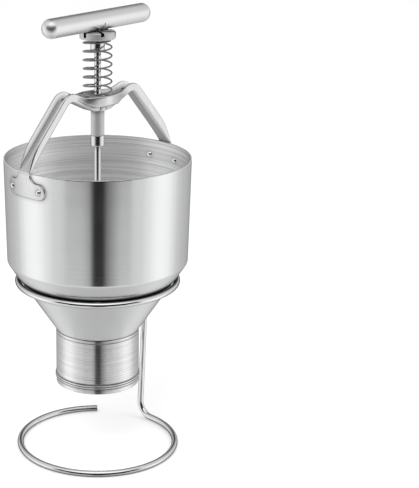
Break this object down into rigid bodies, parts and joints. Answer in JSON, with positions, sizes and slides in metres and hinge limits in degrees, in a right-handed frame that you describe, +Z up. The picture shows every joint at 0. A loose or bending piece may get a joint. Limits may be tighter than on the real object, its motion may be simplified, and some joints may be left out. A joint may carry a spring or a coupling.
{
  "type": "pancake batter dispenser",
  "caption": "Hand-held batter dispenser with an open hopper and a sprung plunger, standing in a bent wire stand.",
  "frame": {"origin": "centre of the footprint on the table, under the axis of the hopper and the rod", "axes": "+Z up along the rod, +X along the bridge, towards the end on the side of the stand's upright"},
  "size_m": [0.1842, 0.18, 0.4377],
  "materials": {
    "spun_aluminium": "polished",
    "turned_aluminium": "satin",
    "bar_aluminium": "satin",
    "strip_steel": "satin",
    "guide_metal": "satin",
    "bright_steel": "polished",
    "dial_steel": "satin",
    "spring_steel": "satin",
    "stand_steel": "polished",
    "small_steel": "satin"
  },
  "bodies": {
    "stand": {"stand_wire": "stand_steel"},
    "dispenser": {"hopper_shell": "spun_aluminium", "neck_sleeve": "turned_aluminium", "bridge": "strip_steel", "bridge_rivets": "bar_aluminium", "guide_tube": "guide_metal", "guide_ferrule": "bright_steel", "guide_nut": "small_steel"},
    "spring_set": {"return_spring": "spring_steel", "spring_seat": "small_steel"},
    "plunger": {"plunger_rod": "bright_steel", "handle_bar": "bar_aluminium", "handle_pin": "small_steel", "dial_pin": "small_steel", "piston": "turned_aluminium", "piston_nut": "small_steel", "spacer_tube": "bright_steel", "closing_disc": "turned_aluminium", "disc_nut": "small_steel"},
    "dial": {"dose_dial": "dial_steel"}
  },
  "joints": [
    {"name": "dispenser_lift", "type": "slide", "parent": "stand", "child": "dispenser", "axis": [0, 0, 1], "range_m": [0, 0.15]},
    {"name": "handle_turn", "type": "hinge", "parent": "dispenser", "child": "spring_set", "pos_m": [0, 0, 0.35231], "axis": [0, 0, 1], "continuous": true},
    {"name": "plunger_press", "type": "slide", "parent": "spring_set", "child": "plunger", "axis": [0, 0, -1], "range_m": [0, 0.036], "stiffness_N_per_m": 600, "springref_m": -0.02, "deforming": ["return_spring"]},
    {"name": "dial_pull", "type": "slide", "parent": "plunger", "child": "dial", "axis": [0, 0, -1], "range_m": [0, 0.005], "stiffness_N_per_m": 600, "springref_m": -0.02, "deforming": ["return_spring"]}
  ]
}
